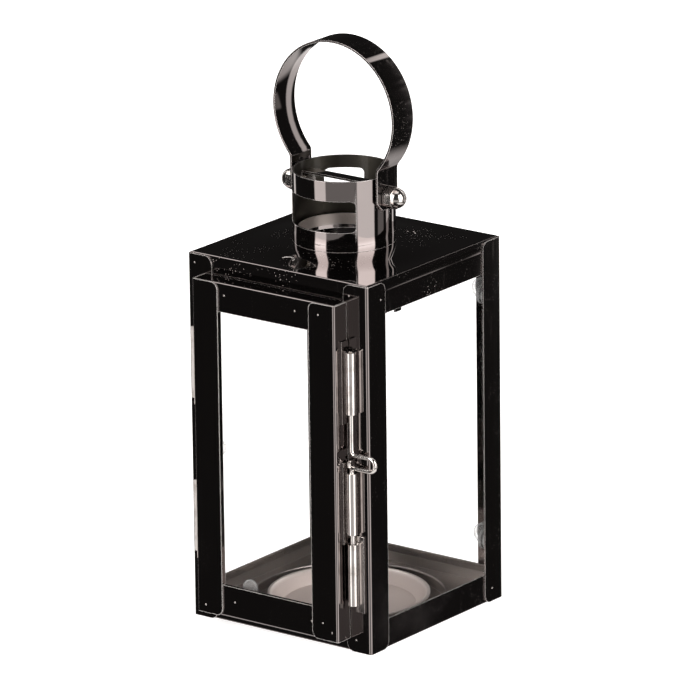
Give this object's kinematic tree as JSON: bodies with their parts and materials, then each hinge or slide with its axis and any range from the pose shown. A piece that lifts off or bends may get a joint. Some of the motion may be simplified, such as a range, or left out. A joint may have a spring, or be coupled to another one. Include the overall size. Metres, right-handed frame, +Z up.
{
  "type": "candle lantern",
  "caption": "Square metal and glass candle lantern with a side-hinged glazed door, sliding bolt latch, vented chimney, candle dish and a swinging ring handle.",
  "frame": {"origin": "middle of the square body, on the standing plane under the base tray", "axes": "+Z up, the door faces -Y, the latch is on the door's +X edge, the handle's pivot runs along X"},
  "size_m": [0.1114, 0.115, 0.2799],
  "materials": {
    "black_nickel": "polished",
    "bright_nickel": "polished",
    "satin_steel": "satin",
    "clear_glass": "polished",
    "clear_sealant": "soft gloss"
  },
  "bodies": {
    "root": {"base_tray": "black_nickel", "top_cover": "black_nickel", "raised_floor": "black_nickel", "front_left_post": "black_nickel", "front_right_post": "black_nickel", "rear_left_post": "black_nickel", "rear_right_post": "black_nickel", "glass_tongues": "black_nickel", "upper_hinge_post_leaf": "black_nickel", "lower_hinge_post_leaf": "black_nickel", "chimney": "black_nickel", "chimney_bridge": "black_nickel", "latch_keeper": "bright_nickel", "hinge_pins": "bright_nickel", "handle_bolts": "bright_nickel", "cap_nuts": "bright_nickel", "rear_glass": "clear_glass", "left_glass": "clear_glass", "right_glass": "clear_glass", "rear_glass_pads": "clear_sealant", "left_glass_pads": "clear_sealant", "right_glass_pads": "clear_sealant", "candle_dish": "satin_steel"},
    "door": {"door_left_stile": "black_nickel", "door_right_stile": "black_nickel", "door_top_rail": "black_nickel", "door_bottom_rail": "black_nickel", "door_glass": "clear_glass", "door_glass_pads": "clear_sealant", "upper_hinge_door_leaf": "black_nickel", "lower_hinge_door_leaf": "black_nickel", "upper_latch_guide": "bright_nickel", "lower_latch_guide": "bright_nickel"},
    "latch": {"latch_bolt": "bright_nickel"},
    "handle": {"handle": "black_nickel"}
  },
  "joints": [
    {"name": "door_hinge", "type": "hinge", "parent": "root", "child": "door", "pos_m": [-0.0448, -0.0548, 0.088], "axis": [0, 0, -1], "range_deg": [0, 110]},
    {"name": "latch_slide", "type": "slide", "parent": "door", "child": "latch", "axis": [0, 0, 1], "range_m": [0, 0.017]},
    {"name": "handle_hinge", "type": "hinge", "parent": "root", "child": "handle", "pos_m": [0, 0, 0.20675], "axis": [1, 0, 0], "range_deg": [-105, 105]}
  ]
}
